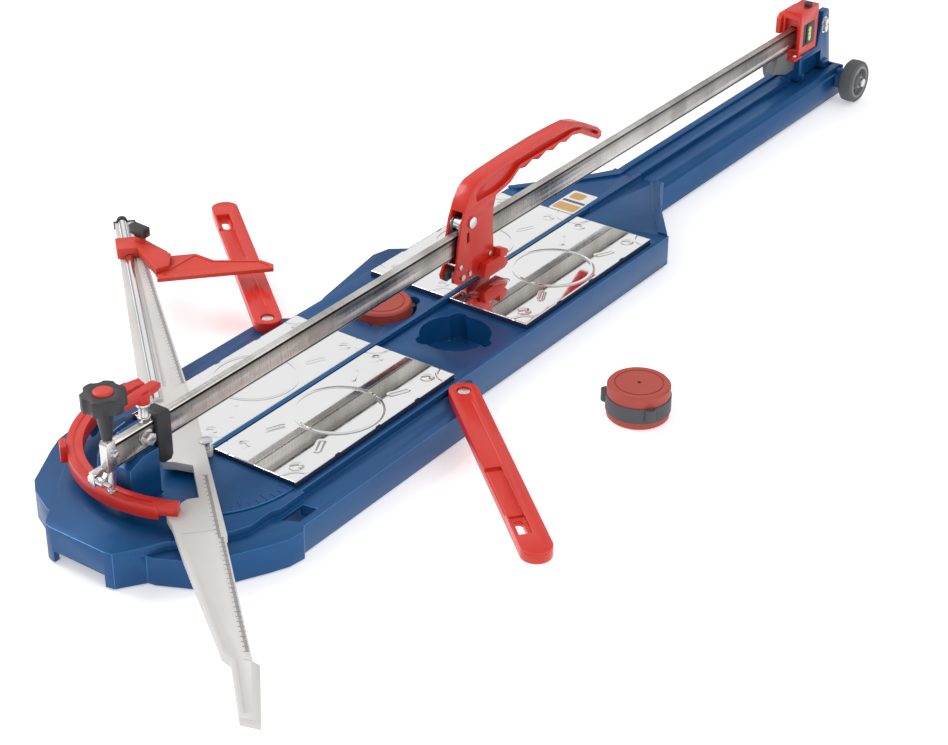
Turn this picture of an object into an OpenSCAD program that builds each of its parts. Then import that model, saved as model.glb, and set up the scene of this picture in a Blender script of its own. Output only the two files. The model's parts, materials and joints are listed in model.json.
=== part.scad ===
// Rail tile cutter with a long tail, swinging square, side stop, fold-out support arms
// and two transport wheels. Millimetres, +Z up, +Y towards the wheels, X = 0 on the cut line,
// Y = 0 at the front edge of the front plates, Z = 0 on the floor.

/* [Base] */
// Half width of the deck under the plates
deck_half = 160; // [156:1:170]
// Height of the deck above the floor
deck_z = 57; // [52:1:62]
// Half width of the front part with the arm ledges
ledge_half = 205; // [200:1:215]
// Height of the arm ledges and nose shoulders
ledge_z = 45; // [40:1:46]
// Wall thickness of the castings
wall = 5; // [4:0.5:7]

/* [Plates] */
// Length of each sprung plate
plate_l = 360; // [340:1:365]
// Width of each sprung plate
plate_w = 144.5; // [130:0.5:145]
// Height of the plate tops above the floor
plate_z = 65; // [64:0.5:66]
// Start of the rear plates along the base
rear_plate_y = 544; // [540:1:550]
// Thickness of a plate skin
skin_t = 1.5; // [1:0.1:2]

/* [Rail] */
// Thickness of the rail
rail_t = 12; // [10:0.5:13]
// Height of the rail section
rail_h = 40; // [36:1:44]
// Underside of the rail above the floor
rail_z = 128; // [126:1:132]
// Front end of the rail
rail_front = -183; // [-188:1:-180]
// Rear end of the rail
rail_rear = 1752; // [1740:1:1760]

/* [Tail] */
// Half width of the tail beam at its top
tail_half = 44; // [40:1:48]
// Top of the tail beam above the floor
tail_z = 62; // [60:1:64]
// Rear end of the tail beam
tail_rear = 1785; // [1775:1:1800]

/* [Wheels] */
// Radius of a wheel
wheel_r = 41; // [36:1:42]
// Width of a wheel
wheel_w = 27; // [20:1:30]
// Axle position along the base
axle_y = 1766; // [1760:1:1770]
// Axle height above the floor
axle_z = 43; // [42:0.5:46]

/* [Ruler] */
// Angle of the swung ruler from square
swing = -41.3; // [-45:0.1:45]
// Thickness of the ruler
ruler_t = 12; // [9:0.5:12]
// Inner radius of the protractor arc
arc_in = 165; // [163:1:167]
// Outer radius of the protractor arc
arc_out = 187; // [185:1:190]

/* [Arms] */
// Distance from arm pivot to arm tip
arm_l = 420; // [400:1:425]
// Width of a support arm
arm_w = 44; // [40:1:46]
// Angle of the right arm from +X
arm_right_a = -40.6; // [-80:0.1:40]
// Angle of the left arm from +X
arm_left_a = 140.9; // [100:0.1:200]

/* [Carriage] */
// Position of the handle pivot along the rail
pivot_y = 589; // [500:1:700]
// Height of the handle pivot
pivot_z = 180; // [179:1:182]

/* [Pads] */
// Radius of a finishing pad
pad_r = 48.5; // [44:0.5:49]
// Height of a finishing pad
pad_h = 54; // [50:1:56]

/* [Hidden] */
$fn = 48;
eps = 1;
gap = 0.3;
fit = 0.05;

blue = [0.10, 0.29, 0.56];
red = [0.82, 0.13, 0.11];
black = [0.12, 0.12, 0.13];
steel = [0.72, 0.72, 0.72];
pale = [0.74, 0.74, 0.72];

rail_top = rail_z + rail_h;
plate_inner = 5;
bed_z = 50;
cushion_z = 54;
bar_half = 3.5;
base_rear = 945;
neck_y = 1110;
neck_half = 50;
pocket_x = 70.6;
pocket_y = 470;
pocket_r = 55;
pocket_floor = 14;
ruler_pivot = [0, -10];
ruler_z = 68;
ruler_top = ruler_z + ruler_t;
arc_top = ruler_top + 13;
arm_pivot = [185, 334];
arm_z = ledge_z + 0.5;
arm_top = 62;
stud_y = -190;
wing_y = stud_y - 20;
wing_z = 120;
bolt_y = -125;
lever_y = -122;
pin_r = 5;
centre_foot_h = 16;
column_y = 1655;
ridge_half = 4.5;
ridge_z = plate_z + 1;
side_z = 6;

// Right half of the lower outline of the nose and the ledges, front to rear.
low_half = [[48, -260], [60, -257], [72, -240], [85, -222], [96, -220], [140, -198], [160, -180],
    [196, -114], [209, -86], [213, -60], [ledge_half, -50], [ledge_half, 350], [deck_half, 388]];
// Right half of the raised nose plateau, front to rear.
plateau_half = [[48, -260], [60, -257], [72, -240], [85, -219], [96, -196], [113, -180],
    [150, -125], [160, -104], [159, -62], [165, -50], [165, -1], [deck_half, -1]];
// Right half of the waist behind the rear plates, where the deck narrows to the tail.
waist_half = [[deck_half, base_rear - 5], [104, 1014], [76, 1055], [neck_half, 1100], [neck_half, neck_y]];
// Right half of the sunk floor on the waist, between its rim and the centre ridge.
floor_half = [[2, base_rear - 6], [143, base_rear - 6], [88, 1012], [61, 1052], [31, 1094],
    [31, neck_y + 1], [ridge_half, neck_y + 1], [ridge_half, base_rear], [2, base_rear]];

function both(pts) = concat(pts, [for (i = [len(pts) - 1:-1:0]) [-pts[i].x, pts[i].y]]);
function shrink(pts, k, cy) = [for (p = pts) [p.x * k, cy + (p.y - cy) * k]];

module box(x0, x1, y0, y1, z0, z1) {
    translate([x0, y0, z0]) cube([x1 - x0, y1 - y0, z1 - z0]);
}
module rod_x(r, x0, x1, y, z) {
    translate([x0, y, z]) rotate([0, 90, 0]) cylinder(r = r, h = x1 - x0);
}
module rod_z(r, x, y, z0, z1) {
    translate([x, y, z0]) cylinder(r = r, h = z1 - z0);
}
module hex_z(r, x, y, z0, z1) {
    translate([x, y, z0]) cylinder(r = r, h = z1 - z0, $fn = 6);
}
module hex_x(r, x0, x1, y, z) {
    translate([x0, y, z]) rotate([0, 90, 0]) cylinder(r = r, h = x1 - x0, $fn = 6);
}
module slab(pts, z0, z1) {
    translate([0, 0, z0]) linear_extrude(z1 - z0) polygon(pts);
}
// A plate lying in the YZ plane, centred on X = 0, from a [y, z] outline.
module side_slab(pts, x0, x1) {
    translate([x0, 0, 0]) rotate([90, 0, 90]) linear_extrude(x1 - x0) polygon(pts);
}
module mirrored() {
    children();
    mirror([1, 0, 0]) children();
}

// ---------- base ----------
module pocket_plan(r, lobe) {
    circle(r = r);
    for (a = [0:120:240]) rotate(a) translate([r - 5, 0]) circle(r = lobe);
}
module base_outer() {
    slab(both(low_half), 2, ledge_z);
    slab(both(plateau_half), ledge_z - eps, deck_z);
    box(-deck_half, deck_half, -2, base_rear, 5, deck_z);
    slab(both(waist_half), 5, tail_z);
    slab([[-158, 425], [-168, 446], [-197, 610], [-190, 642], [-158, 668]], 5, 52);
    box(-ridge_half, ridge_half, base_rear, neck_y, deck_z - eps, ridge_z);
}
// Open underside: a nose hollow, ledge hollows and bays between the cross ribs.
module base_hollow() {
    slab(shrink(both([[58, -254], [73, -238], [88, -219], [136, -191], [155, -174], [190, -111],
        [204, -82], [205, -14]]), 0.97, -130), -eps, ledge_z - wall);
    for (s = [-1, 1])
        box(s > 0 ? deck_half + wall : -ledge_half + wall,
            s > 0 ? ledge_half - wall : -deck_half - wall, 6, 342, -eps, ledge_z - wall);
    for (i = [0:4], s = [-1, 1])
        box(s > 0 ? wall : -deck_half + wall, s > 0 ? deck_half - wall : -wall,
            6 + i * 188, 6 + i * 188 + 182, -eps, bed_z - wall);
    slab(shrink(both([[146, 950], [96, 1012], [68, 1052], [neck_half - 6, 1094], [neck_half - 6, 1104]]),
        0.97, 1020), -eps, bed_z - wall);
}
module pocket_wells() {
    translate([pocket_x, pocket_y, pocket_floor - 4]) linear_extrude(deck_z - pocket_floor + 3)
        pocket_plan(pocket_r + 4, 18);
}
module base_casting() {
    color(blue) difference() {
        union() {
            difference() {
                base_outer();
                base_hollow();
            }
            mirrored() pocket_wells();
            for (s = [-1, 1]) rod_z(14, s * arm_pivot.x, arm_pivot.y, 10, ledge_z - 2);
            rod_z(14, 0, ruler_pivot.y, centre_foot_h, deck_z - 2);
        }
        mirrored() translate([pocket_x, pocket_y, pocket_floor]) linear_extrude(60)
            pocket_plan(pocket_r, 14);
        // Windows in the pocket floors.
        for (s = [-1, 1]) box(s * pocket_x - 22, s * pocket_x + 22, pocket_y - 12, pocket_y + 12, 0, 20);
        // Beds of the plates, either side of the breaking bar.
        for (s = [-1, 1], y = [0, rear_plate_y])
            box(s > 0 ? bar_half + 0.5 : -151, s > 0 ? 151 : -bar_half - 0.5,
                y - 1, y + plate_l + 1, bed_z, 90);
        box(-bar_half, bar_half, -1, base_rear, bed_z, 90);
        // Sunk floor of the waist, either side of the ridge.
        mirrored() slab(floor_half, deck_z, 90);
        // Arch between the nose feet.
        box(-46, 46, -270, -238, -eps, 20);
        // Windows that take the folded arm tips.
        mirrored() slab([[171, -58], [193, -45], [193, -8], [171, -12]], 30, 70);
        // Holes for the arm pivots and the ruler pivot.
        for (s = [-1, 1]) rod_z(pin_r, s * arm_pivot.x, arm_pivot.y, 0, 60);
        rod_z(pin_r, 0, ruler_pivot.y, 0, 70);
        rod_z(14, 0, ruler_pivot.y, -eps, centre_foot_h);
    }
}
module base_feet() {
    color(black) {
        mirrored() {
            box(48, 56, -256, -248, 0, 2);
            box(deck_half, deck_half + wall, 20, 60, 0, 2);
            box(deck_half, deck_half + wall, 260, 300, 0, 2);
            box(90, 130, 564, 570, 0, 5);
            box(90, 130, 942, 952, 0, 5);
        }
        // Round foot under the ruler pivot, where the cutting load comes down.
        rod_z(14, 0, ruler_pivot.y, 0, centre_foot_h);
    }
}
module breaking_bar() {
    color(blue) side_slab([[-0.5, bed_z], [base_rear - 0.5, bed_z], [base_rear - 0.5, plate_z + 1],
        [4, plate_z + 1], [-0.5, plate_z - 3]], -bar_half + 0.05, bar_half - 0.05);
}
module protractor_plate() {
    color(blue) difference() {
        intersection() {
            rod_z(150, 0, ruler_pivot.y, deck_z, deck_z + 1.5);
            box(-160, 160, -200, -1.5, 0, 100);
        }
        rod_z(9.5, 0, ruler_pivot.y, 0, 100);
        box(-16, 16, -172, -112, 0, 100);
        for (a = [-180:5:0])
            translate([0, ruler_pivot.y, deck_z + 0.8]) rotate(a)
                translate([a % 15 == 0 ? 128 : 136, -0.5, 0]) cube([a % 15 == 0 ? 18 : 10, 1, 2]);
    }
}
module plate_buffers() {
    color(black)
        for (s = [-1, 1], y = [0, rear_plate_y], u = [30, plate_w - 20], v = [50, plate_l - 50])
            rod_z(9, s * (plate_inner + u), y + v, bed_z, cushion_z);
}

// ---------- sprung plates ----------
module at_plate(side, y) {
    translate([side > 0 ? plate_inner : -plate_inner - plate_w, y, 0]) children();
}
module plate_skin(side, y) {
    color("silver") at_plate(side, y) difference() {
        translate([0, 0, plate_z - skin_t]) cube([plate_w, plate_l, skin_t]);
        // Stepped notches on the outer edge.
        for (v = [90, 180, 270])
            translate([side > 0 ? plate_w - 2 : -1, v - 6, 0]) cube([3, 12, 100]);
    }
}
module cushion(side, y) {
    color([0.06, 0.10, 0.25]) at_plate(side, y)
        translate([0.5, 0.5, cushion_z]) cube([plate_w - 1, plate_l - 1, plate_z - skin_t - cushion_z]);
}

// ---------- tail and wheels ----------
tail_profile = [[2, deck_z], [30, deck_z], [31, tail_z], [tail_half, tail_z], [tail_half + 2, 52],
    [neck_half, 50], [neck_half, side_z], [neck_half - 4, side_z], [neck_half - 4, 46], [38, 50], [2, 50]];
module tail_beam() {
    color(blue) difference() {
        union() {
            mirrored() translate([0, tail_rear - 6, 0]) rotate([90, 0, 0])
                linear_extrude(tail_rear - 6 - neck_y) polygon(tail_profile);
            box(-ridge_half, ridge_half, neck_y, column_y, 50, ridge_z);
            box(-ridge_half, ridge_half, column_y - eps, tail_rear - 6, 50, tail_z);
            // Rear end cap and the ears that carry the axle.
            box(-neck_half, neck_half, tail_rear - 6, tail_rear, side_z, tail_z);
            mirrored() box(neck_half - 1, 62, axle_y - 14, tail_rear, axle_z - 16, axle_z + 4);
            mirrored() rod_x(14, neck_half - 1, 62, axle_y, axle_z + 4);
            for (y = [neck_y + 20:160:tail_rear - 60]) box(-neck_half + 3, neck_half - 3, y, y + 4, side_z + 6, 51);
        }
        rod_x(6, -70, 70, axle_y, axle_z);
        // Rounded lower edge at the rear.
        difference() {
            box(-64, 64, tail_rear - 9, tail_rear + 1, 0, side_z + 10);
            rod_x(10, -70, 70, tail_rear - 10, side_z + 10);
        }
    }
}
module axle() {
    color(steel) {
        rod_x(6, -99, 99, axle_y, axle_z);
        mirrored() {
            hex_x(9, 97.4, 103, axle_y, axle_z);
            rod_x(8, 102, 104.5, axle_y, axle_z);
        }
    }
}
module wheel_ring(r0, r1, w) {
    rotate([0, 90, 0]) difference() {
        cylinder(r = r1, h = w, center = true);
        cylinder(r = r0, h = w + 2, center = true);
    }
}
wheel_x = 97 - wheel_w / 2;
module tyre(side) {
    color([0.36, 0.37, 0.38]) translate([side * wheel_x, axle_y, axle_z])
        rotate([0, 90, 0]) rotate_extrude() polygon([
            [31, -wheel_w / 2], [wheel_r - 4, -wheel_w / 2], [wheel_r - 1, -wheel_w / 2 + 3],
            [wheel_r, 0], [wheel_r - 1, wheel_w / 2 - 3], [wheel_r - 4, wheel_w / 2], [31, wheel_w / 2]]);
}
module hub(side) {
    color([0.62, 0.63, 0.64]) translate([side * wheel_x, axle_y, axle_z]) {
        wheel_ring(27, 31, wheel_w - 1);
        wheel_ring(6 + fit, 12, wheel_w);
        difference() {
            wheel_ring(11, 28, 8);
            for (a = [0:60:300]) rotate([a, 0, 0]) rod_x(4.5, -20, 20, 0, 20);
        }
    }
}

// ---------- rail and its supports ----------
module rail_bar() {
    c = 3;
    color(steel) difference() {
        translate([0, rail_rear, 0]) rotate([90, 0, 0]) linear_extrude(rail_rear - rail_front)
            polygon([[-rail_t / 2, rail_z + 1], [-rail_t / 2 + 1, rail_z], [rail_t / 2 - 1, rail_z],
                [rail_t / 2, rail_z + 1], [rail_t / 2, rail_top - c], [rail_t / 2 - c, rail_top],
                [-rail_t / 2 + c, rail_top], [-rail_t / 2, rail_top - c]]);
        rod_x(5, -20, 20, bolt_y, 146);
        for (z = [144, 157]) rod_x(4, -20, 20, 1744, z);
        rod_z(4, 0, lever_y, 150, 180);
    }
}
module front_tower() {
    color(blue) difference() {
        union() {
            side_slab([[-170, deck_z], [-114, deck_z], [-114, rail_z], [-142, rail_z], [-168, 118]], -14, 14);
            box(-14, -rail_t / 2, -160, -114, 90, 164);
        }
        rod_x(5, -30, 10, bolt_y, 146);
    }
}
module rear_column() {
    color(blue) difference() {
        union() {
            side_slab([[column_y, tail_z], [1782, tail_z], [1760, 178], [1738, 178], [1724, 118],
                [1722, 112], [column_y, 112]], -20, 20);
            box(-25, 25, 1660, 1765, tail_z, 76);
        }
        box(-rail_t / 2, rail_t / 2, 1600, 1800, rail_z, 200);
        for (z = [144, 157]) rod_x(4, -30, 30, 1744, z);
        side_slab([[1668, tail_z - 1], [1744, tail_z - 1], [1740, 100], [1668, 100]], 11, 30);
        side_slab([[1668, tail_z - 1], [1744, tail_z - 1], [1740, 100], [1668, 100]], -30, -11);
    }
}
module rear_housing() {
    color(red) difference() {
        union() {
            box(-18, 18, 1650, 1720, 112, 200);
            box(-12, 24, 1624, 1651, 112, 116);
            box(-20, 20, 1646, 1652, 116, 194);
        }
        box(-rail_t / 2, rail_t / 2, 1600, 1800, rail_z - 1, rail_top + 1);
        box(-14, 14, 1640, 1656, rail_z - 1, 186);
        box(17, 30, 1664, 1708, 128, 172);
        rod_z(5, 8, 1694, 184, 210);
    }
}
module rear_cover() {
    color(red) side_slab([[1640, 154], [1700, 154], [1712, 170], [1712, 192], [1648, 192], [1640, 184]],
        -30, -20.1);
    color(red) box(-20.1, -18, 1655, 1700, 160, 186);
}
module rear_guide_block() {
    color([0.35, 0.35, 0.36]) side_slab([[1570, 100], [1622, 84], [1654.8, 84], [1654.8, 111.8],
        [1622, 111.8], [1622, rail_z], [1584, rail_z]], -9, 9);
}
module height_knob() {
    color(black) {
        rod_z(5 - fit, 8, 1694, 186, 202);
        rod_z(8, 8, 1694, 200.2, 207);
    }
}
module bolt(r, x0, x1, y, z) {
    rod_x(r, x0, x1, y, z);
    hex_x(r * 1.9, x1, x1 + r * 1.3, y, z);
    difference() {
        rod_x(r * 2.5, x1 - 1.5, x1, y, z);
        rod_x(r, x1 - 3, x1 + 1, y, z);
    }
    hex_x(r * 1.9, x0, x0 + r * 1.4, y, z);
}
module frame_bolts() {
    h = rail_t / 2;
    color(steel) {
        bolt(5, -21, h + 1.5, bolt_y, 146);
        rod_x(6, 6.5, 8, stud_y + 4, 152);
        hex_x(4.5, 8, 11.5, stud_y + 4, 152);
        for (z = [144, 157]) bolt(4, -27, 21.5, 1744, z);
        for (x = [-6, 14]) hex_z(6, x, 1637, 116, 121);
        // Cross stud of the wing nut.
        rod_x(3, -14, 20, wing_y, wing_z);
        hex_x(6, -16, -12, wing_y, wing_z);
        // Post of the lock lever on top of the rail.
        rod_z(4, 0, lever_y, 152, 199);
        hex_z(8, 0, lever_y, rail_top, rail_top + 6);
        rod_z(9, 0, lever_y, rail_top + 6, rail_top + 8);
        rod_z(7, 0, lever_y, rail_top + 8, 192);
        rod_z(10, 0, lever_y, 192, 196);
    }
}
module front_bumper() {
    color(black) difference() {
        side_slab([[-112, 104], [-104, 98], [-90, 98], [-86, 104], [-86, 170], [-90, 176],
            [-108, 176], [-112, 172]], -13, 13);
        box(-rail_t / 2, rail_t / 2, -120, -80, 126.5, rail_top);
    }
}
// Block on the front end of the rail: it guides the clamp stud and carries the wing nut's ear.
module rail_end_block() {
    color(steel) difference() {
        union() {
            side_slab([[stud_y - 9, rail_z], [rail_front, rail_z], [rail_front, rail_top + 4],
                [stud_y - 6, rail_top + 4], [stud_y - 9, rail_top]], -6.5, 6.5);
            box(-12, -4, wing_y - 6, rail_front, 112, 132);
            box(-11, -rail_t / 2, rail_front - 2, -163, 138, 164);
        }
        rod_z(5 + fit, 0, stud_y, 90, 180);
        rod_x(3, -20, 20, wing_y, wing_z);
    }
}
module pivot_pins() {
    color(steel) {
        for (s = [-1, 1]) {
            rod_z(pin_r, s * arm_pivot.x, arm_pivot.y, 16, arm_top - 4);
            rod_z(9, s * arm_pivot.x, arm_pivot.y, arm_top - 5 + gap, arm_top - 2);
        }
        rod_z(pin_r, 0, ruler_pivot.y, 24, ruler_top + 1);
        rod_z(9, 0, ruler_pivot.y, ruler_top + gap, ruler_top + 2.5);
    }
}

// ---------- front clamp ----------
module clamp_knob() {
    color(black) {
        difference() {
            rod_z(30, 0, stud_y, 222, 244);
            for (a = [30:60:330])
                translate([0, stud_y, 0]) rotate(a) rod_z(14, 40, 0, 200, 260);
            rod_z(14, 0, stud_y, 240, 260);
            rod_z(5, 0, stud_y, 180, 230);
        }
        translate([0, stud_y, 173.5]) rotate_extrude()
            polygon([[5, 0], [6.8, 0], [8, 8], [12.5, 42], [17, 49], [5, 49]]);
    }
}
module clamp_knob_cap() {
    color(red) translate([0, stud_y, 240]) rotate_extrude()
        polygon([[0, 0], [13.8, 0], [13.8, 5], [11, 7], [0, 7.5]]);
}
module clamp_stud() {
    color(steel) {
        rod_z(5, 0, stud_y, arc_top + 3, 230);
        rod_z(6, 0, stud_y, arc_top + gap, arc_top + 4);
    }
}
module clamp_lever() {
    color(red) difference() {
        union() {
            rod_z(10, 0, lever_y, 196.3, 212);
            side_slab([[-166, 204], [-150, 202], [lever_y, 202], [-100, 204], [-93, 208], [-93, 214],
                [-100, 216], [-150, 214], [-166, 212]], -6, 6);
        }
        rod_z(4 + fit, 0, lever_y, 190, 200);
    }
}
module wing_nut() {
    color(steel) difference() {
        union() {
            rod_x(6, -2.7, 9, wing_y, wing_z);
            for (s = [-1, 1])
                translate([0, wing_y, wing_z]) rotate([s * 38 + (s > 0 ? 0 : 180), 0, 0])
                    translate([0, 3, -1.5]) cube([7, 9.5, 3]);
        }
        rod_x(3 + fit, -20, 40, wing_y, wing_z);
    }
}

// ---------- swinging ruler, drawn square and turned to its angle ----------
module at_ruler() {
    translate([ruler_pivot.x, ruler_pivot.y, 0]) rotate(swing) children();
}
module ruler_body() {
    color(pale) at_ruler() difference() {
        union() {
            slab([[-60, -4], [229, 0], [232, -3], [494, -4], [504, 3], [606, -10], [592, -33],
                [486, -29], [470, -38], [266, -60], [194, -66], [169, -71], [159, -67], [158, -55],
                [144, -49], [137, -41], [136, -25], [57, -24], [44, -46], [38, -64], [20, -60],
                [-60, -52]], ruler_z, ruler_top);
            rod_z(9, 0, 0, deck_z + 1.8, ruler_z + eps);
        }
        rod_z(pin_r + fit, 0, 0, 0, 100);
        // Hollow underside of the long arm.
        slab([[190, -10], [500, -9], [590, -17], [582, -27], [490, -23], [466, -32], [200, -56]],
            ruler_z - eps, ruler_top - 4);
        // Raised border round the long arm and its tip.
        slab([[215, -14], [488, -14], [492, -6], [590, -17], [584, -26], [488, -22], [464, -33], [215, -57]],
            ruler_top - 0.7, ruler_top + 1);
        // Degree and centimetre ticks beside the fence edge.
        for (i = [0:28]) translate([195 + i * 10, i % 5 == 0 ? -11 : -8, ruler_top - 0.4])
            cube([0.8, i % 5 == 0 ? 7 : 4, 1]);
    }
}
rod_v = -54;
module ruler_beam() {
    color(pale) at_ruler() difference() {
        slab([[-60, -4], [-60, -52], [-110, -58], [-150, -76], [-704, -66], [-704, -34]], ruler_z, ruler_top);
        translate([-740, rod_v, ruler_top]) rotate([0, 90, 0]) cylinder(r = 7, h = 620);
        // Groove between the scale lane and the rod, and the hollow underside.
        slab([[-160, -42], [-160, -37], [-696, -44], [-696, -46]], ruler_top - 3, ruler_top + 1);
        slab([[-160, -16], [-160, -68], [-690, -60], [-690, -39]], ruler_z - eps, ruler_z + 3);
        for (i = [0:50]) translate([-160 - i * 10, (i % 5 == 0 ? -24 : -21) - i * 0.42, ruler_top - 0.4])
            cube([0.8, i % 5 == 0 ? 8 : 5, 1]);
    }
}
module ruler_rod() {
    color("silver") at_ruler() translate([-704, rod_v, ruler_top]) rotate([0, 90, 0])
        cylinder(r = 7 - 0.02, h = 584);
}
module ruler_end_cap() {
    color(black) at_ruler() {
        translate([-712, -68, ruler_z]) cube([8, 36, ruler_t]);
        translate([-712, rod_v, ruler_top]) rotate([0, 90, 0]) cylinder(r = 9, h = 8);
    }
}
module ring_arc(r0, r1, z0, z1, a0, a1) {
    rotate(a0) rotate_extrude(angle = a1 - a0, $fn = 96)
        polygon([[r0, z0], [r1, z0], [r1, z1], [r0, z1]]);
}
module protractor_arc() {
    mid = (arc_in + arc_out) / 2;
    color(red) at_ruler() difference() {
        union() {
            ring_arc(arc_in, arc_out, 74, arc_top, -149.5, -26);
            ring_arc(arc_in + 2, arc_out - 2, ruler_top, arc_top, -156, -149);
            ring_arc(arc_in + 2, arc_out - 2, ruler_top, arc_top, -27, -18);
        }
        ring_arc(mid - 1.5, mid + 1.5, arc_top - 1, arc_top + 1, -145, -30);
        ring_arc(arc_in + 4, arc_out - 4, 73, 84, -148, -28);
    }
}

// Finger tab on the outside of the arc.
module arc_tab() {
    color(red) at_ruler() ring_arc(arc_out, arc_out + 9, 76, 102, -94.5, -87.5);
}

// ---------- side stop on the ruler ----------
knob_uv = [-594, -33];
module stop_clamp() {
    color(red) at_ruler() difference() {
        union() {
            slab([[-612, -72], [-572, -72], [-572, -26], [-612, -30]], ruler_top + gap, 98);
            slab([[-604, -28], [-604, -40], [-572, -40], [-548, -34], [-500, -20], [-490, -18.5],
                [-516, 3.5], [-549, 5.5], [-580, -14]], 84, 98);
            slab([[-560, -8], [-549, -20], [-492, -18], [-500, 2], [-540, 10]], 90, 98);
            rod_z(9, knob_uv.x, knob_uv.y, 96, 108);
        }
        translate([-640, rod_v, ruler_top]) rotate([0, 90, 0]) cylinder(r = 7.3, h = 100);
        rod_z(3 + fit, knob_uv.x, knob_uv.y, 84, 120);
    }
}
module stop_square() {
    color(red) at_ruler() difference() {
        slab([[-473, -19], [-488, -18], [-514, 4], [-548, 6], [-547, 49], [-518, 75], [-503, 147],
            [-484, 164], [-471, 162]], 84, 90);
        slab([[-480, -8], [-490, -8], [-542, 47], [-516, 70], [-500, 142], [-484, 156], [-480, 156]],
            88.5, 100);
        for (i = [0:15]) translate([-478, 5 + i * 10, 89.4]) cube([i % 5 == 0 ? 6 : 4, 0.8, 2]);
    }
}
module stop_knob() {
    color(black) at_ruler() translate([knob_uv.x, knob_uv.y, 0]) {
        rod_z(3, 0, 0, 86, 112);
        rod_z(7, 0, 0, 108.3, 111);
        // Wing head.
        intersection() {
            rod_z(18, 0, 0, 110, 125);
            rotate(38) box(-20, 20, -7.5, 7.5, 110, 125);
        }
    }
}

// ---------- support arms, drawn along +X from the pivot ----------
module arm(side) {
    half = arm_w / 2;
    reach = arm_l - half;
    color(red) mirror([0, side > 0 ? 0 : 1, 0]) difference() {
        union() {
            rod_z(half, 0, 0, arm_z, arm_top);
            box(0, reach, -half, half, arm_z, arm_top);
            rod_z(half, reach, 0, arm_z, arm_top);
        }
        rod_z(pin_r + fit, 0, 0, 0, 100);
        rod_z(11, 0, 0, arm_top - 5, 100);
        // Stepped recess on the inner side, with the slot beyond it.
        box(208, 322, -half - 1, 2, arm_top - 5, 100);
        box(322, 372, -half + 3, 3, arm_top - 8, 100);
        for (x = [336, 362]) rod_z(6, x, -7, 0, 100);
        box(336, 362, -13, -1, 0, 100);
    }
}
module arm_right() {
    translate([arm_pivot.x, arm_pivot.y, 0]) rotate(arm_right_a) arm(1);
}
module arm_left() {
    translate([-arm_pivot.x, arm_pivot.y, 0]) rotate(arm_left_a) arm(-1);
}

// ---------- carriage on the rail ----------
bearing_y = [-12, 40];
bearing_r = 10;
top_bearing_z = rail_top + gap + bearing_r;
low_bearing_r = 8;
low_bearing_z = rail_z - gap - low_bearing_r;
plate_in = 7;
plate_out = 9.7;
module carriage_block() {
    color([0.45, 0.46, 0.48]) {
        difference() {
            for (s = [-1, 1])
                side_slab([for (p = [[-24, -30], [-8, -68], [16, -68], [54, -30], [54, 4], [48, 10],
                    [-18, 10], [-24, 4]]) [pivot_y + p.x, pivot_z + p.y]],
                    s > 0 ? plate_in : -plate_out, s > 0 ? plate_out : -plate_in);
            for (y = bearing_y) rod_x(3.5, -20, 20, pivot_y + y, top_bearing_z);
            rod_x(3.5, -20, 20, pivot_y, low_bearing_z);
            rod_x(5, -20, 20, pivot_y, pivot_z);
        }
        for (y = bearing_y) rod_x(3.5, -plate_out, plate_out, pivot_y + y, top_bearing_z);
        rod_x(3.5, -plate_out, plate_out, pivot_y, low_bearing_z);
    }
}
module bearing(y, z, r) {
    color(steel) translate([0, y, z]) rotate([0, 90, 0]) rotate_extrude()
        polygon([[3.5 + fit, -6.5], [r - 1, -6.5], [r, -5.5], [r, 5.5], [r - 1, 6.5], [3.5 + fit, 6.5]]);
}
cheek_in = 10.2;
cheek_out = 14;
wheel_y = 566;
cheek_outline = [[543, 100], [551, 112], [556, 150], [566, 188], [572, 201], [655, 201], [648, 183],
    [646, 154], [649, 122], [650, 100], [612, 100], [600, 84], [556, 84], [545, 92]];
grip_outline = [[572, 201], [578, 213], [591, 231], [607, 239], [640, 243], [700, 246], [780, 248],
    [836, 247], [873, 245], [902, 237], [945, 214], [958, 202], [957, 194], [948, 191], [930, 201],
    [894, 221], [869, 226], [850, 221], [832, 226], [812, 220], [794, 226], [772, 219], [754, 225],
    [735, 219], [718, 222], [694, 208], [675, 204], [655, 201]];
grip_recess = [[604, 208], [655, 208], [675, 211], [694, 216], [721, 229], [850, 230], [872, 232],
    [898, 227], [934, 206], [944, 201], [948, 204], [938, 211], [900, 231], [872, 239], [836, 241],
    [780, 242], [700, 240], [640, 236], [612, 230], [601, 220]];
// Two cheeks that straddle the carriage and carry the scoring wheel at their foot.
module handle_cheeks() {
    color(red) difference() {
        mirrored() side_slab(cheek_outline, cheek_in, cheek_out);
        rod_x(6, -20, 20, pivot_y, pivot_z);
        rod_x(3, -20, 20, wheel_y, 94);
        rod_x(2.5, -20, 20, 585, 94);
        rod_x(2.5, -20, 20, 560, 114);
        for (z = [150:4:162]) mirrored() rod_x(3.5, cheek_in - 1, 20, pivot_y - 8, z);
        rod_x(3, -20, 20, 640, 106);
    }
}
module handle_grip() {
    color(red) difference() {
        side_slab(grip_outline, -cheek_out, cheek_out);
        for (s = [-1, 1])
            side_slab(grip_recess, s > 0 ? 6 : -20, s > 0 ? 20 : -6);
    }
}
module wheel_holder() {
    color([0.35, 0.35, 0.36]) difference() {
        box(-cheek_in, cheek_in, 550, 604, 88, 103);
        box(-4.6, 4.6, 540, 578, 80, 110);
        rod_x(3, -20, 20, wheel_y, 94);
        rod_x(2.5, -20, 20, 585, 94);
    }
}
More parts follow.
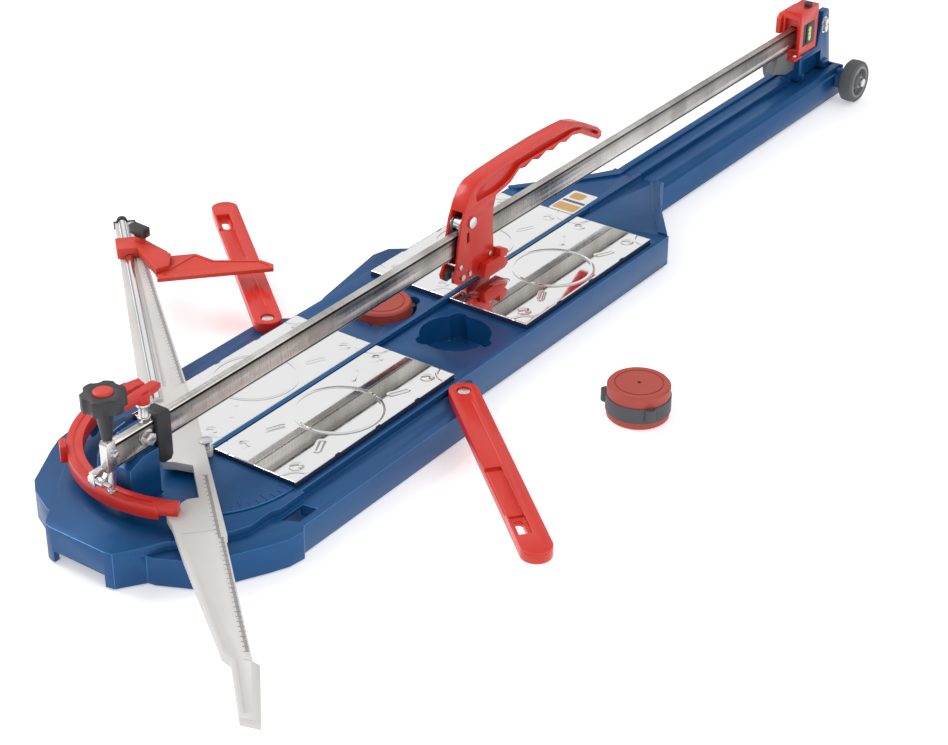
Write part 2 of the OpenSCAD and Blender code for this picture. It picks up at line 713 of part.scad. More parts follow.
module handle_pins() {
    color(steel) {
        mirrored() {
            rod_x(6 - fit, cheek_in, cheek_out + 1, pivot_y, pivot_z);
            rod_x(5 - fit, plate_in, cheek_in, pivot_y, pivot_z);
            rod_x(9, cheek_out, cheek_out + 4, pivot_y, pivot_z);
            hex_x(5.5, cheek_out, cheek_out + 3, wheel_y, 94);
            hex_x(4.5, cheek_out, cheek_out + 2.5, 585, 94);
            hex_x(4.5, cheek_out, cheek_out + 2.5, 560, 114);
            rod_x(3, cheek_in, cheek_out, 640, 106);
            rod_x(5, cheek_out, cheek_out + 2, 640, 106);
        }
        rod_x(3, -cheek_out, cheek_out, wheel_y, 94);
        rod_x(2.5, -cheek_out, cheek_out, 585, 94);
        rod_x(2.5, -cheek_out, cheek_out, 560, 114);
    }
}
module breaker_foot() {
    color(red) mirrored() {
        difference() {
            union() {
                side_slab([[608, 78], [620, 75], [664, 75], [672, 80], [672, 88], [664, 93], [650, 99.8],
                    [614, 99.8]], 8, 26);
                side_slab([[652, 96], [668, 94], [674, 100], [670, 106], [652, 112]], cheek_in, 26);
            }
            rod_x(3, -30, 30, 640, 106);
            box(0, cheek_out + 0.1, 640, 651, 99.5, 120);
        }
    }
}
module score_wheel() {
    color([0.55, 0.55, 0.57]) translate([0, wheel_y, 94]) rotate([0, 90, 0]) rotate_extrude()
        polygon([[3 + fit, -4], [7, -4], [10, -0.4], [10, 0.4], [7, 4], [3 + fit, 4]]);
}

// ---------- finishing pads ----------
module pad_body() {
    color(red) difference() {
        rotate_extrude($fn = 72) polygon([[0, 0], [pad_r - 4, 0], [pad_r - 2, 2], [pad_r - 2, 12],
            [pad_r - 8, 12], [pad_r - 8, 36], [pad_r - 1.5, 36], [pad_r - 1.5, 51],
            [pad_r - 4, pad_h], [0, pad_h]]);
        rod_z(3, 0, 0, 40, 60);
        difference() {
            rod_z(pad_r - 12, 0, 0, pad_h - 1.2, 60);
            rod_z(pad_r - 14, 0, 0, 40, 70);
        }
    }
}
module pad_belt() {
    color([0.25, 0.26, 0.28]) difference() {
        union() {
            rod_z(pad_r, 0, 0, 12, 36);
            for (a = [0:120:240]) rotate(a) {
                rod_z(8, pad_r - 0.5, 0, 18, 36);
            }
        }
        rod_z(pad_r - 8, 0, 0, 0, 60);
    }
}
module at_stored() {
    translate([-pocket_x, pocket_y, pocket_floor + 0.2]) mirror([1, 0, 0]) children();
}
module at_loose() {
    translate([370, 514, 0]) rotate(-38) children();
}

base_casting();
base_feet();
breaking_bar();
protractor_plate();
tail_beam();
front_tower();
rear_column();
rail_bar();
frame_bolts();
front_bumper();
rail_end_block();
pivot_pins();
plate_buffers();
rear_housing();
rear_cover();
rear_guide_block();
axle();
height_knob();
tyre(-1);  // tyre_left
hub(-1);  // hub_left
tyre(1);  // tyre_right
hub(1);  // hub_right
plate_skin(-1, 0);  // plate_front_left
plate_skin(1, 0);  // plate_front_right
plate_skin(-1, rear_plate_y);  // plate_rear_left
plate_skin(1, rear_plate_y);  // plate_rear_right
cushion(-1, 0);  // cushion_front_left
cushion(1, 0);  // cushion_front_right
cushion(-1, rear_plate_y);  // cushion_rear_left
cushion(1, rear_plate_y);  // cushion_rear_right
ruler_body();
ruler_beam();
ruler_rod();
ruler_end_cap();
protractor_arc();
arc_tab();
stop_clamp();
stop_square();
stop_knob();
arm_left();
arm_right();
carriage_block();
bearing(pivot_y + bearing_y[0], top_bearing_z, bearing_r);  // bearing_front
bearing(pivot_y + bearing_y[1], top_bearing_z, bearing_r);  // bearing_rear
bearing(pivot_y, low_bearing_z, low_bearing_r);  // bearing_lower
handle_cheeks();
handle_grip();
wheel_holder();
handle_pins();
breaker_foot();
score_wheel();
at_stored() pad_body();  // pad_stored
at_stored() pad_belt();  // pad_stored_belt
at_loose() pad_body();  // pad_loose
at_loose() pad_belt();  // pad_loose_belt
clamp_knob();
clamp_knob_cap();
clamp_stud();
clamp_lever();
wing_nut();
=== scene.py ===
"""Looks of the rail tile cutter: finishes, detailed pieces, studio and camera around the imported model."""

import json
import math

import bmesh
import bpy
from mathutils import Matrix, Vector


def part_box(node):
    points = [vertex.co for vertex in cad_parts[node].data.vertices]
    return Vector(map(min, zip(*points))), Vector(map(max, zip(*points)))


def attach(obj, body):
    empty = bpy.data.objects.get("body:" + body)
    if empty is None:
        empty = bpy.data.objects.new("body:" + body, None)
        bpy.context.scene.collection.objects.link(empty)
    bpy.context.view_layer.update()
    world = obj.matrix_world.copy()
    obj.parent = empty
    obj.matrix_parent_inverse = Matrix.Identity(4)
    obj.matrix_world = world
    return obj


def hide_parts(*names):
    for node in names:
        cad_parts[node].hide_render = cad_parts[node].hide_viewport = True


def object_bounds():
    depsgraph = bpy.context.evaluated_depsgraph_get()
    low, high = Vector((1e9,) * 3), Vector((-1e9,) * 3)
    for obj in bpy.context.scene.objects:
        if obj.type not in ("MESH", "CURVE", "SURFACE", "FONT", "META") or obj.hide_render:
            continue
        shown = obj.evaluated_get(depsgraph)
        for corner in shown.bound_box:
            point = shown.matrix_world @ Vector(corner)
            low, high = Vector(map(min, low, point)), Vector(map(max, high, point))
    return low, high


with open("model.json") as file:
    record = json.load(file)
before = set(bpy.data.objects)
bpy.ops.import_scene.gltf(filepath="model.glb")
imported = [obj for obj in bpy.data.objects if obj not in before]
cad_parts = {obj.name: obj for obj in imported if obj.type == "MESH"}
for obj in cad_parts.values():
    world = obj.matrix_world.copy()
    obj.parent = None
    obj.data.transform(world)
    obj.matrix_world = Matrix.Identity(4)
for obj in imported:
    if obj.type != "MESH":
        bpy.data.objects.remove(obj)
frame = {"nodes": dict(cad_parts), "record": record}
cad_lo, cad_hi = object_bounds()
NODES = frame["nodes"]
SLOT_OF = {s["node"]: s["material_slot"] for s in frame["record"]["subparts"]}
MM = 0.001
# The rail's lower and upper edge, in metres.
RAIL_LOW, RAIL_HIGH = 0.128, 0.168
# Places in millimetres and turns in degrees, in the part's own frame.
RULER_PIVOT_Y = -10
RULER_SWING = -41.3
ARM_PIVOT_X, ARM_PIVOT_Y = 185, 334
ARM_RIGHT_TURN, ARM_LEFT_TURN = -40.6, 140.9
PLATE_NOTCHES = (90, 180, 270)
PRESSED_RING = 63.5
MOON_U, MOON_V = 46.5, 148


# ---------- finishes ----------
def new_material(name):
    mat = bpy.data.materials.new(name)
    mat.use_nodes = True
    tree = mat.node_tree
    shader = next(n for n in tree.nodes if n.type == "BSDF_PRINCIPLED")
    return mat, tree, shader


def coords(tree, scale=(1, 1, 1), turn=0.0):
    """Object coordinates, stretched and turned about Z."""
    source = tree.nodes.new("ShaderNodeTexCoord")
    mapping = tree.nodes.new("ShaderNodeMapping")
    mapping.inputs["Scale"].default_value = scale
    mapping.inputs["Rotation"].default_value = (0, 0, turn)
    tree.links.new(source.outputs["Object"], mapping.inputs["Vector"])
    return mapping.outputs["Vector"]


def noise(tree, vector, scale, detail=3.0, rough=0.55):
    node = tree.nodes.new("ShaderNodeTexNoise")
    node.inputs["Scale"].default_value = scale
    node.inputs["Detail"].default_value = detail
    node.inputs["Roughness"].default_value = rough
    tree.links.new(vector, node.inputs["Vector"])
    return node.outputs["Fac"]


def ramp(tree, factor, stops):
    node = tree.nodes.new("ShaderNodeValToRGB")
    elements = node.color_ramp.elements
    elements[0].position, elements[0].color = stops[0][0], (*stops[0][1], 1)
    elements[1].position, elements[1].color = stops[-1][0], (*stops[-1][1], 1)
    for place, colour in stops[1:-1]:
        elements.new(place).color = (*colour, 1)
    tree.links.new(factor, node.inputs["Fac"])
    return node.outputs["Color"]


def span(tree, factor, low, high):
    """Maps a 0.3-0.7 noise to low-high."""
    node = tree.nodes.new("ShaderNodeMapRange")
    node.inputs["From Min"].default_value = 0.3
    node.inputs["From Max"].default_value = 0.7
    node.inputs["To Min"].default_value = low
    node.inputs["To Max"].default_value = high
    tree.links.new(factor, node.inputs["Value"])
    return node.outputs["Result"]


def bump(tree, shader, height, strength, distance):
    node = tree.nodes.new("ShaderNodeBump")
    node.inputs["Strength"].default_value = strength
    node.inputs["Distance"].default_value = distance
    tree.links.new(height, node.inputs["Height"])
    tree.links.new(node.outputs["Normal"], shader.inputs["Normal"])


def surface(name, base, base2, metallic, rough, rough2, coat=0.0, grain=(60, 0.05, 0.0002),
            stretch=(1, 1, 1), patch=7.0, spec=0.5):
    """A finish with slow colour change, uneven gloss and a fine grain."""
    mat, tree, shader = new_material(name)
    slow = noise(tree, coords(tree), patch, 4.0)
    fine = noise(tree, coords(tree, stretch), grain[0], 5.0)
    tree.links.new(ramp(tree, slow, [(0.3, base), (0.7, base2)]), shader.inputs["Base Color"])
    tree.links.new(span(tree, fine, rough, rough2), shader.inputs["Roughness"])
    shader.inputs["Metallic"].default_value = metallic
    shader.inputs["Specular IOR Level"].default_value = spec
    shader.inputs["Coat Weight"].default_value = coat
    shader.inputs["Coat Roughness"].default_value = 0.12
    bump(tree, shader, fine, grain[1], grain[2])
    return mat


MATS = {
    "blue_paint": surface("blue_paint", (0.0035, 0.067, 0.208), (0.006, 0.085, 0.244), 0.30, 0.28, 0.40,
                          coat=0.12, grain=(420, 0.10, 0.0001), spec=0.32),
    "red_paint": surface("red_paint", (0.60, 0.018, 0.008), (0.66, 0.026, 0.011), 0.0, 0.30, 0.42,
                         coat=0.22, grain=(160, 0.10, 0.0002), spec=0.38),
    "red_plastic": surface("red_plastic", (0.60, 0.040, 0.020), (0.66, 0.052, 0.028), 0.0, 0.42, 0.52,
                           grain=(900, 0.15, 0.0001)),
    "pad_red": surface("pad_red", (0.40, 0.055, 0.036), (0.46, 0.070, 0.048), 0.0, 0.48, 0.60,
                       grain=(700, 0.2, 0.0001)),
    "black_rubber": surface("black_rubber", (0.018, 0.018, 0.019), (0.028, 0.028, 0.030), 0.0, 0.65, 0.8,
                            grain=(500, 0.3, 0.0002)),
    "black_plastic": surface("black_plastic", (0.020, 0.020, 0.022), (0.030, 0.030, 0.033), 0.0, 0.38,
                             0.5, grain=(800, 0.2, 0.0001)),
    "rail_steel": surface("rail_steel", (0.50, 0.48, 0.45), (0.62, 0.60, 0.57), 1.0, 0.22, 0.40,
                          grain=(30, 0.08, 0.0001), stretch=(1, 25, 1)),
    "zinc_steel": surface("zinc_steel", (0.62, 0.62, 0.62), (0.74, 0.74, 0.73), 1.0, 0.22, 0.34,
                          grain=(300, 0.1, 0.0001)),
    "guide_grey": surface("guide_grey", (0.11, 0.112, 0.118), (0.15, 0.152, 0.158), 0.0, 0.45, 0.6,
                          grain=(500, 0.2, 0.0001)),
    "tyre_grey": surface("tyre_grey", (0.085, 0.092, 0.100), (0.115, 0.122, 0.130), 0.0, 0.55, 0.7,
                         grain=(400, 0.25, 0.0002)),
    "hub_grey": surface("hub_grey", (0.22, 0.23, 0.24), (0.28, 0.29, 0.30), 0.0, 0.40, 0.5,
                        grain=(500, 0.15, 0.0001)),
    "chrome_skin": surface("chrome_skin", (0.86, 0.86, 0.86), (0.90, 0.90, 0.90), 1.0, 0.03, 0.07,
                           grain=(45, 0.02, 0.0001)),
    "rod_chrome": surface("rod_chrome", (0.80, 0.80, 0.80), (0.88, 0.88, 0.88), 1.0, 0.08, 0.14,
                          grain=(60, 0.02, 0.0001)),
    "cushion_blue": surface("cushion_blue", (0.010, 0.018, 0.060), (0.016, 0.026, 0.080), 0.0, 0.55, 0.7,
                            grain=(400, 0.25, 0.0002)),
    "cast_alu": surface("cast_alu", (0.62, 0.60, 0.575), (0.68, 0.66, 0.635), 0.22, 0.46, 0.60,
                        grain=(700, 0.30, 0.0002)),
    "block_steel": surface("block_steel", (0.28, 0.29, 0.30), (0.36, 0.37, 0.38), 1.0, 0.3, 0.42,
                           grain=(200, 0.1, 0.0001)),
    "cutter_steel": surface("cutter_steel", (0.42, 0.42, 0.44), (0.5, 0.5, 0.52), 1.0, 0.2, 0.3,
                            grain=(200, 0.1, 0.0001)),
    "belt_grey": surface("belt_grey", (0.060, 0.064, 0.074), (0.078, 0.082, 0.092), 0.0, 0.5, 0.62,
                         grain=(500, 0.25, 0.0001)),
}


def banded_rail():
    """Brushed steel with painted light in height bands: painted shade lines under the top chamfer and above
    the lower edge, painted highlights on the chamfer and above the lower line, and a painted reflection
    gradient between.
    """
    mat, tree, shader = new_material("rail_painted_reflections")
    split = tree.nodes.new("ShaderNodeSeparateXYZ")
    tree.links.new(coords(tree), split.inputs["Vector"])
    place = tree.nodes.new("ShaderNodeMapRange")
    place.inputs["From Min"].default_value = RAIL_LOW
    place.inputs["From Max"].default_value = RAIL_HIGH
    tree.links.new(split.outputs["Z"], place.inputs["Value"])
    # Painted light, bottom to top: painted shade line, painted highlight, painted reflection gradient
    # darkening upward, painted shade line, painted highlight on the top chamfer.
    painted_light_bands = ramp(tree, place.outputs["Result"], [
        (0.0, (0.62, 0.60, 0.57)), (0.045, (0.62, 0.60, 0.57)), (0.06, (0.03, 0.028, 0.026)),
        (0.09, (0.03, 0.028, 0.026)), (0.11, (0.72, 0.69, 0.655)), (0.55, (0.62, 0.59, 0.55)),
        (0.78, (0.40, 0.375, 0.345)), (0.84, (0.016, 0.014, 0.013)), (0.90, (0.016, 0.014, 0.013)),
        (0.925, (0.80, 0.78, 0.74)), (1.0, (0.80, 0.78, 0.74))])
    brush = noise(tree, coords(tree, (1, 30, 1.2)), 26.0, 5.0)
    patch = noise(tree, coords(tree, (1, 2.2, 1)), 5.0, 3.0)
    mix = tree.nodes.new("ShaderNodeMix")
    mix.data_type = "RGBA"
    mix.blend_type = "MULTIPLY"
    mix.inputs[0].default_value = 1.0
    tree.links.new(painted_light_bands, mix.inputs[6])
    tree.links.new(ramp(tree, patch, [(0.36, (0.62, 0.61, 0.60)), (0.62, (1.0, 1.0, 1.0))]), mix.inputs[7])
    streak = tree.nodes.new("ShaderNodeMix")
    streak.data_type = "RGBA"
    streak.blend_type = "MULTIPLY"
    streak.inputs[0].default_value = 0.8
    tree.links.new(mix.outputs[2], streak.inputs[6])
    tree.links.new(ramp(tree, brush, [(0.3, (0.70, 0.69, 0.68)), (0.7, (1.0, 1.0, 1.0))]), streak.inputs[7])
    tree.links.new(streak.outputs[2], shader.inputs["Base Color"])
    tree.links.new(span(tree, brush, 0.24, 0.42), shader.inputs["Roughness"])
    shader.inputs["Metallic"].default_value = 1.0
    bump(tree, shader, brush, 0.08, 0.0001)
    return mat


MATS["rail_steel"] = banded_rail()
# Rounded edges take a brighter finish than the faces: a painted highlight for the light the edges catch.
EDGE_HIGHLIGHT_MATS = {
    "blue_paint": surface("blue_painted_highlight_edge", (0.012, 0.150, 0.400), (0.022, 0.200, 0.480), 0.55, 0.20, 0.30,
                          coat=0.6, grain=(420, 0.08, 0.0001), spec=0.6),
    "red_paint": surface("red_painted_highlight_edge", (0.72, 0.040, 0.020), (0.80, 0.055, 0.030), 0.0, 0.26, 0.36,
                         coat=0.4, grain=(160, 0.08, 0.0002)),
}


# ---------- rounded edges on the carried-over nodes ----------
def geometry_group(name, build):
    group = bpy.data.node_groups.new(name, "GeometryNodeTree")
    group.interface.new_socket("Geometry", in_out="INPUT", socket_type="NodeSocketGeometry")
    group.interface.new_socket("Geometry", in_out="OUTPUT", socket_type="NodeSocketGeometry")
    start = group.nodes.new("NodeGroupInput")
    end = group.nodes.new("NodeGroupOutput")
    group.links.new(build(group, start.outputs[0]), end.inputs[0])
    return group


def build_clean(group, geometry):
    strip = group.nodes.new("GeometryNodeRemoveAttribute")
    strip.inputs["Name"].default_value = "custom_normal"
    merge = group.nodes.new("GeometryNodeMergeByDistance")
    merge.inputs["Distance"].default_value = 0.00001
    group.links.new(geometry, strip.inputs["Geometry"])
    group.links.new(strip.outputs["Geometry"], merge.inputs["Geometry"])
    return merge.outputs["Geometry"]


def build_shade(group, geometry):
    faces = group.nodes.new("GeometryNodeSetShadeSmooth")
    edges = group.nodes.new("GeometryNodeSetShadeSmooth")
    edges.domain = "EDGE"
    angle = group.nodes.new("GeometryNodeInputMeshEdgeAngle")
    test = group.nodes.new("FunctionNodeCompare")
    test.operation = "LESS_THAN"
    test.inputs[1].default_value = math.radians(38)
    group.links.new(geometry, faces.inputs["Geometry"])
    group.links.new(faces.outputs["Geometry"], edges.inputs["Geometry"])
    group.links.new(angle.outputs["Unsigned Angle"], test.inputs[0])
    group.links.new(test.outputs["Result"], edges.inputs["Shade Smooth"])
    return edges.outputs["Geometry"]


CLEAN = geometry_group("weld_seams", build_clean)
SHADE = geometry_group("shade_by_angle", build_shade)


def soften(obj, width, segments=2, angle=30):
    """Rounds the sharp edges of a node by modifiers only. The rounds take the node's last material."""
    obj.modifiers.new("weld", "NODES").node_group = CLEAN
    if width:
        flat = obj.modifiers.new("flat", "DECIMATE")
        flat.decimate_type = "DISSOLVE"
        flat.angle_limit = math.radians(0.5)
        edge = obj.modifiers.new("edge", "BEVEL")
        edge.width = width * MM
        edge.segments = segments
        edge.limit_method = "ANGLE"
        edge.angle_limit = math.radians(angle)
        edge.harden_normals = False
        # The rounds take the last material. On painted nodes that is the brighter painted-highlight edge
        # finish.
        edge.material = len(obj.data.materials) - 1
    obj.modifiers.new("shade", "NODES").node_group = SHADE


EDGE = {"base_casting": 2.2, "tail_beam": 1.6, "front_tower": 2.0, "rear_column": 2.0,
        "rear_housing": 1.6, "rear_cover": 1.6, "rear_guide_block": 1.2, "handle_grip": 2.4,
        "handle_cheeks": 1.2, "wheel_holder": 0.8,
        "arm_left": 2.4, "arm_right": 2.4, "protractor_arc": 2.6, "stop_clamp": 1.4,
        "stop_square": 0.8, "front_bumper": 2.0, "rail_end_block": 1.4, "clamp_knob": 2.4,
        "clamp_lever": 2.0, "breaker_foot": 1.6, "rail_bar": 0.4, "ruler_body": 0.7, "ruler_beam": 0.7,
        "breaking_bar": 0.8, "carriage_block": 0.6, "wing_nut": 0.8, "stop_knob": 1.2,
        "frame_bolts": 0.5, "clamp_knob_cap": 0.6, "axle": 0.5, "arc_tab": 1.0,
        "handle_pins": 0.5, "pivot_pins": 0.5, "ruler_end_cap": 0.8, "height_knob": 1.0}
EMBOSSED = {"plate_front_left": ("plate_fl", -1), "plate_front_right": ("plate_fr", 1),
            "plate_rear_left": ("plate_rl", -1), "plate_rear_right": ("plate_rr", 1)}
for name, node in NODES.items():
    if name in EMBOSSED:
        continue
    node.data.materials.clear()
    node.data.materials.append(MATS[SLOT_OF[name]])
    # Painted nodes get a second, brighter material for their rounds: a painted edge highlight.
    if SLOT_OF[name] in EDGE_HIGHLIGHT_MATS:
        node.data.materials.append(EDGE_HIGHLIGHT_MATS[SLOT_OF[name]])
    soften(node, EDGE.get(name, 0))


# ---------- pressed chrome plates ----------
def smooth(x, low, high):
    """0 below low, 1 above high and an even curve between."""
    t = min(1.0, max(0.0, (x - low) / (high - low)))
    return t * t * (3 - 2 * t)


def groove(d, half, soft=1.0):
    """1 inside a line of this half width at distance d, falling to 0 beside it."""
    return 1.0 - smooth(abs(d), half, half + soft)


def slot_distance(u, v, cu, cv, angle, length):
    """Distance from a rounded slot's centre line."""
    du, dv = u - cu, v - cv
    along = du * math.cos(angle) + dv * math.sin(angle)
    across = -du * math.sin(angle) + dv * math.cos(angle)
    return math.hypot(max(0.0, abs(along) - length / 2), across)


def pressing(u, v, wide, long):
    """Depth of the pressed pattern at u, v from the plate's centre, in millimetres."""
    # One plain ring at the middle, with nothing inside it.
    depth = 0.75 * groove(math.hypot(u, v) - PRESSED_RING, 1.2, 1.8)
    au, av = abs(u), abs(v)
    d = slot_distance(au, av, 39.5, 90, math.radians(64), 24)
    depth = max(depth, 0.55 * groove(d - 3.6, 0.5, 1.1))
    d = math.hypot(au - MOON_U, av - MOON_V)
    if d < 13:
        along = v - math.copysign(MOON_V, v)
        moon = smooth(along, -3.0, 1.5)
        depth = max(depth, 1.0 * groove(d - 6.4, 1.4, 2.4) * moon)
        depth = max(depth, 0.4 * groove(d - 9.5, 0.4, 1.0))
        lobes = math.cos(8 * math.atan2(along, au - MOON_U))
        depth = max(0.0, depth - 0.35 * max(0.0, lobes) * groove(d - 5.5, 1.5, 1.2) * moon)
    corner = math.hypot(wide / 2 - au, long / 2 - av)
    depth = max(depth, 0.55 * groove(corner - 26, 0.6, 1.2))
    return depth


def embossed_plate(name, body, side):
    lo, hi = (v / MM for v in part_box(name))
    wide, long = hi.x - lo.x, hi.y - lo.y
    step = 1.5
    cols, rows = round(wide / step), round(long / step)
    bm = bmesh.new()
    grid = []
    for j in range(rows + 1):
        line = []
        for i in range(cols + 1):
            u, v = wide * (i / cols - 0.5), long * (j / rows - 0.5)
            x, y = lo.x + wide * i / cols, lo.y + long * j / rows
            notched = any(abs(j * long / rows - place) < 6 for place in PLATE_NOTCHES)
            if notched and i == (cols if side > 0 else 0):
                x -= side * 2.0
            drop = pressing(u, v, wide, long)
            if i in (0, cols) or j in (0, rows):
                drop += 0.35
            line.append(bm.verts.new((x * MM, y * MM, (hi.z - drop) * MM)))
        grid.append(line)
    for j in range(rows):
        for i in range(cols):
            bm.faces.new((grid[j][i], grid[j][i + 1], grid[j + 1][i + 1], grid[j + 1][i]))
    rim = grid[0] + [row[-1] for row in grid[1:]] + grid[-1][-2::-1] + [row[0] for row in grid[-2:0:-1]]
    low = [bm.verts.new((v.co.x, v.co.y, lo.z * MM)) for v in rim]
    for k in range(len(rim)):
        m = (k + 1) % len(rim)
        bm.faces.new((rim[k], low[k], low[m], rim[m]))
    bm.faces.new(low[::-1])
    bm.normal_update()
    for face in bm.faces:
        face.smooth = face.normal.z > 0.3
    mesh = bpy.data.meshes.new(name + "_pressed")
    bm.to_mesh(mesh)
    bm.free()
    obj = bpy.data.objects.new(name + "_pressed", mesh)
    bpy.context.scene.collection.objects.link(obj)
    mesh.materials.append(MATS["chrome_skin"])
    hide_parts(name)
    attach(obj, body)


for plate_name, (plate_body, plate_side) in EMBOSSED.items():
    embossed_plate(plate_name, plate_body, plate_side)


# ---------- small pieces ----------
def piece(name, bm, body, mats, round_mm=0.0):
    """Turns a bmesh in millimetres into a shown piece that rides on a body."""
    bmesh.ops.recalc_face_normals(bm, faces=bm.faces)
    bmesh.ops.scale(bm, vec=(MM, MM, MM), verts=bm.verts)
    mesh = bpy.data.meshes.new(name)
    bm.to_mesh(mesh)
    bm.free()
    for mat in mats:
        mesh.materials.append(mat)
    obj = bpy.data.objects.new(name, mesh)
    bpy.context.scene.collection.objects.link(obj)
    if round_mm:
        edge = obj.modifiers.new("edge", "BEVEL")
        edge.width = round_mm * MM
        edge.segments = 2
        edge.limit_method = "ANGLE"
    obj.modifiers.new("shade", "NODES").node_group = SHADE
    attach(obj, body)


def prism(bm, outline, low, high, turn=None, index=0):
    """An upright prism from a plan outline. turn maps a point to its place."""
    turn = turn or (lambda point: point)
    base = [bm.verts.new(turn(Vector((x, y, low)))) for x, y in outline]
    top = [bm.verts.new(turn(Vector((x, y, high)))) for x, y in outline]
    faces = [bm.faces.new(top), bm.faces.new(base[::-1])]
    for k in range(len(base)):
        m = (k + 1) % len(base)
        faces.append(bm.faces.new((base[k], base[m], top[m], top[k])))
    for face in faces:
        face.material_index = index


def rounded(x0, x1, y0, y1, r, steps=5):
    """Plan outline of a rounded rectangle."""
    points = []
    corners = ((x1 - r, y1 - r, 0), (x0 + r, y1 - r, 90), (x0 + r, y0 + r, 180), (x1 - r, y0 + r, 270))
    for cx, cy, start in corners:
        for k in range(steps + 1):
            a = math.radians(start + 90 * k / steps)
            points.append((cx + r * math.cos(a), cy + r * math.sin(a)))
    return points


def bar(x0, x1, y0, y1):
    """Plan outline of a rectangle."""
    return [(x0, y0), (x1, y0), (x1, y1), (x0, y1)]


def about(px, py, degrees):
    """Turns a point about a vertical line through px, py after moving it there."""
    a = math.radians(degrees)
    return lambda v: Vector((px + v.x * math.cos(a) - v.y * math.sin(a),
                             py + v.x * math.sin(a) + v.y * math.cos(a), v.z))


def side_plane(v):
    """Stands a plan outline up: its X becomes Y, its Y becomes Z and its height becomes X."""
    return Vector((v.z, v.x, v.y))


PLAIN = {
    "ink_grey": surface("ink_grey", (0.055, 0.055, 0.055), (0.085, 0.085, 0.085), 0.0, 0.55, 0.7),
    "label_white": surface("label_white", (0.78, 0.77, 0.74), (0.84, 0.83, 0.80), 0.0, 0.28, 0.36, coat=0.4),
    "label_gold": surface("label_gold", (0.55, 0.30, 0.06), (0.68, 0.40, 0.10), 0.35, 0.28, 0.38, coat=0.4),
    "label_blue": surface("label_blue", (0.03, 0.05, 0.16), (0.04, 0.07, 0.20), 0.0, 0.3, 0.4, coat=0.4),
    "vial_green": surface("vial_green", (0.50, 0.62, 0.10), (0.58, 0.70, 0.16), 0.0, 0.12, 0.18, coat=0.8),
}


def protractor_rim():
    """Raised lip round the protractor disc, open where the tower stands, in the brighter blue as a painted
    highlight.
    """
    bm = bmesh.new()
    low = NODE_TOP["protractor_plate"]
    # Radius and height of the lip's section, from inside to outside.
    section = ((146.4, low - 1.0), (147.0, low + 0.9), (148.2, low + 1.5), (149.6, low + 0.9),
               (150.0, low - 1.4))
    steps = 48
    for first, last in ((-178.0, -98.0), (-82.0, -3.5)):
        rings = []
        for k in range(steps + 1):
            a = math.radians(first + (last - first) * k / steps)
            ring = []
            for rad, z in section:
                ring.append(bm.verts.new((rad * math.cos(a), rad * math.sin(a) + RULER_PIVOT_Y, z)))
            rings.append(ring)
        for a, b in zip(rings, rings[1:]):
            for m in range(4):
                bm.faces.new((a[m], a[m + 1], b[m + 1], b[m]))
            bm.faces.new((a[4], a[0], b[0], b[4]))
        bm.faces.new(rings[0])
        bm.faces.new(rings[-1][::-1])
    # The lip takes the brighter edge blue: a painted highlight along the disc's rim.
    piece("protractor_rim", bm, "base", [EDGE_HIGHLIGHT_MATS["blue_paint"]])


def deck_label():
    """Plain coloured label on the rear deck, without any lettering."""
    bm = bmesh.new()
    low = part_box("protractor_plate")[0].z / MM
    film, ink = low + 0.3, low + 0.42
    prism(bm, rounded(-62, -13, 918, 1000, 4), low, film, index=0)
    prism(bm, rounded(-59, -16, 924, 950, 3), film, ink, index=1)
    prism(bm, rounded(-59, -16, 956, 964, 2), film, ink, index=2)
    prism(bm, rounded(-56, -30, 970, 994, 6), film, ink, index=1)
    inks = [PLAIN["label_white"], PLAIN["label_gold"], PLAIN["label_blue"]]
    piece("deck_label", bm, "base", inks)


def level_window():
    """Small spirit level let into the right face of the rear housing."""
    bm = bmesh.new()
    recess = 17.0
    prism(bm, rounded(1664, 1708, 128, 172, 3), recess, recess + 0.6, side_plane, 1)
    prism(bm, rounded(1676, 1696, 131, 169, 4), recess + 0.6, recess + 2.2, side_plane, 1)
    prism(bm, rounded(1681, 1691, 136, 164, 4.5), recess + 2.2, recess + 3.0, side_plane, 0)
    for z in (146, 154):
        prism(bm, bar(1680.5, 1691.5, z - 0.5, z + 0.5), recess + 3.0, recess + 3.15, side_plane, 1)
    piece("level_window", bm, "base", [PLAIN["vial_green"], MATS["black_plastic"]], 0.3)


def scale_marks():
    """Fine marks every two millimetres beside the ruler's fence edge, without figures."""
    turn = about(0, RULER_PIVOT_Y, RULER_SWING)
    top = NODE_TOP["ruler_beam"]
    bm = bmesh.new()
    for k in range(196):
        u = 84 + 2 * k
        edge = -4.5 if u > 232 else -7.0
        long = 7.0 if k % 5 == 0 else 4.2
        prism(bm, bar(u, u + 0.8, edge - long - 1.0, edge - 1.0), top + 0.02, top + 0.14, turn)
    for k in range(262):
        u = -164 - 2 * k
        edge = -4 - (-60 - u) * 0.0466 - 2.5
        long = 7.0 if k % 5 == 0 else 4.2
        prism(bm, bar(u, u + 0.8, edge - long, edge), top + 0.02, top + 0.14, turn)
    piece("scale_marks", bm, "ruler", [PLAIN["ink_grey"]])


def arm_rib(name, body, px, degrees, side):
    """Thin ribs along the top and the step of a support arm, in the brighter red as painted highlight lines.
    """
    top = NODE_TOP["arm_right"]
    turn = about(px, ARM_PIVOT_Y, degrees)
    bm = bmesh.new()
    prism(bm, rounded(34, 206, side * 4 - 0.9, side * 4 + 0.9, 0.8, 3), top - 0.5, top + 0.9, turn)
    prism(bm, rounded(214, 318, side * -19 - 0.8, side * -19 + 0.8, 0.7, 3), top - 5.5, top - 4.2, turn)
    # The ribs take the brighter edge red: painted highlight lines on the arm.
    piece(name, bm, body, [EDGE_HIGHLIGHT_MATS["red_paint"]])


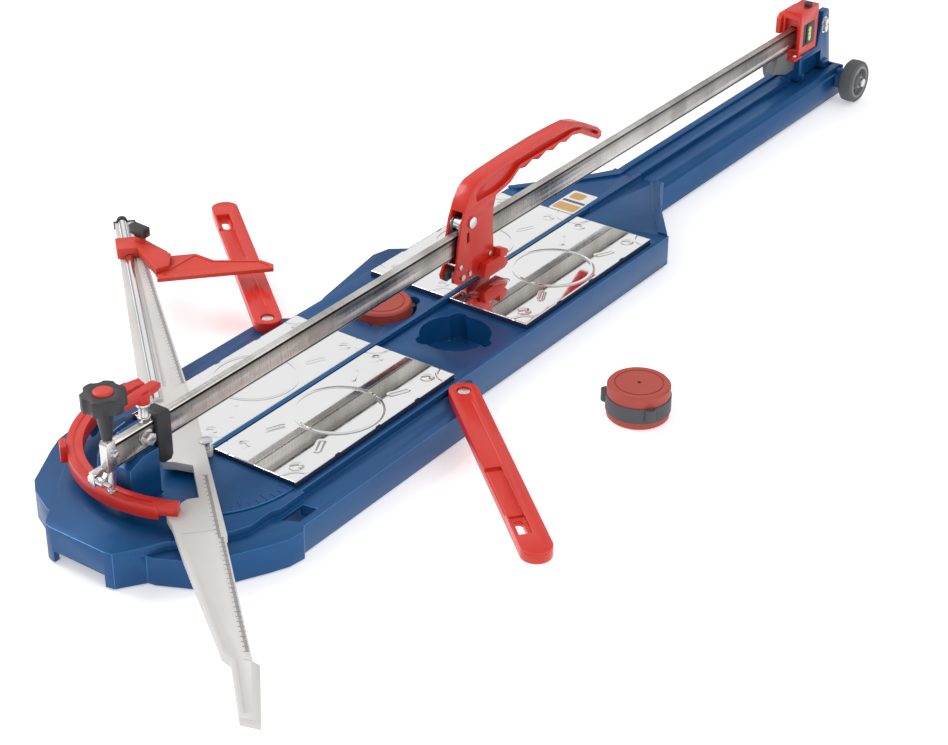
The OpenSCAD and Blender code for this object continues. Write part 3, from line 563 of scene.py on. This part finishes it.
NODE_TOP = {name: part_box(name)[1].z / MM for name in ("protractor_plate", "ruler_beam", "arm_right")}
protractor_rim()
deck_label()
level_window()
scale_marks()
arm_rib("arm_rib_right", "support_right", ARM_PIVOT_X, ARM_RIGHT_TURN, 1)
arm_rib("arm_rib_left", "support_left", -ARM_PIVOT_X, ARM_LEFT_TURN, -1)


# ---------- studio ----------
def area_light(name, place, target, size, power):
    data = bpy.data.lights.new(name, "AREA")
    data.shape = "SQUARE"
    data.size = size
    data.energy = power
    lamp = bpy.data.objects.new(name, data)
    bpy.context.scene.collection.objects.link(lamp)
    lamp.location = place
    lamp.rotation_euler = (Vector(target) - Vector(place)).to_track_quat("-Z", "Y").to_euler()


def studio():
    mesh = bpy.data.meshes.new("floor")
    half = 30.0
    corners = [(-half, -half, 0), (half, -half, 0), (half, half, 0), (-half, half, 0)]
    mesh.from_pydata(corners, [], [(0, 1, 2, 3)])
    floor = bpy.data.objects.new("floor", mesh)
    bpy.context.scene.collection.objects.link(floor)
    floor.location.z = cad_lo.z - 0.0005
    mat, tree, shader = new_material("floor_white")
    shader.inputs["Base Color"].default_value = (0.90, 0.90, 0.91, 1)
    shader.inputs["Emission Color"].default_value = (1.0, 1.0, 1.0, 1)
    shader.inputs["Emission Strength"].default_value = 0.40
    shader.inputs["Roughness"].default_value = 0.9
    shader.inputs["Specular IOR Level"].default_value = 0.1
    mesh.materials.append(mat)
    world = bpy.data.worlds.new("studio")
    bpy.context.scene.world = world
    world.use_nodes = True
    tree = world.node_tree
    back = next(n for n in tree.nodes if n.type == "BACKGROUND")
    source = tree.nodes.new("ShaderNodeTexCoord")
    split = tree.nodes.new("ShaderNodeSeparateXYZ")
    tree.links.new(source.outputs["Generated"], split.inputs["Vector"])
    shade = ramp(tree, split.outputs["Z"], [(0.0, (0.38, 0.38, 0.39)), (0.26, (0.42, 0.42, 0.43)),
                                            (0.38, (1.0, 1.0, 1.0)), (0.66, (0.96, 0.96, 0.97)),
                                            (1.0, (0.56, 0.56, 0.57))])
    tree.links.new(shade, back.inputs["Color"])
    back.inputs["Strength"].default_value = 0.92
    area_light("key", (-2.6, -0.2, 2.6), (0, 0.5, 0), 1.8, 62)
    area_light("fill", (2.6, 0.6, 2.6), (0, 0.3, 0), 1.4, 18)


def camera():
    data = bpy.data.cameras.new("camera")
    data.lens = 80.2
    data.sensor_width = 36.0
    data.clip_end = 100
    cam = bpy.data.objects.new("camera", data)
    bpy.context.scene.collection.objects.link(cam)
    cam.location = (1.714, -1.787, 1.608)
    cam.rotation_euler = (math.radians(59.88), math.radians(-0.36), math.radians(35.68))
    bpy.context.scene.camera = cam


studio()
camera()
bpy.context.scene.view_settings.view_transform = "Standard"
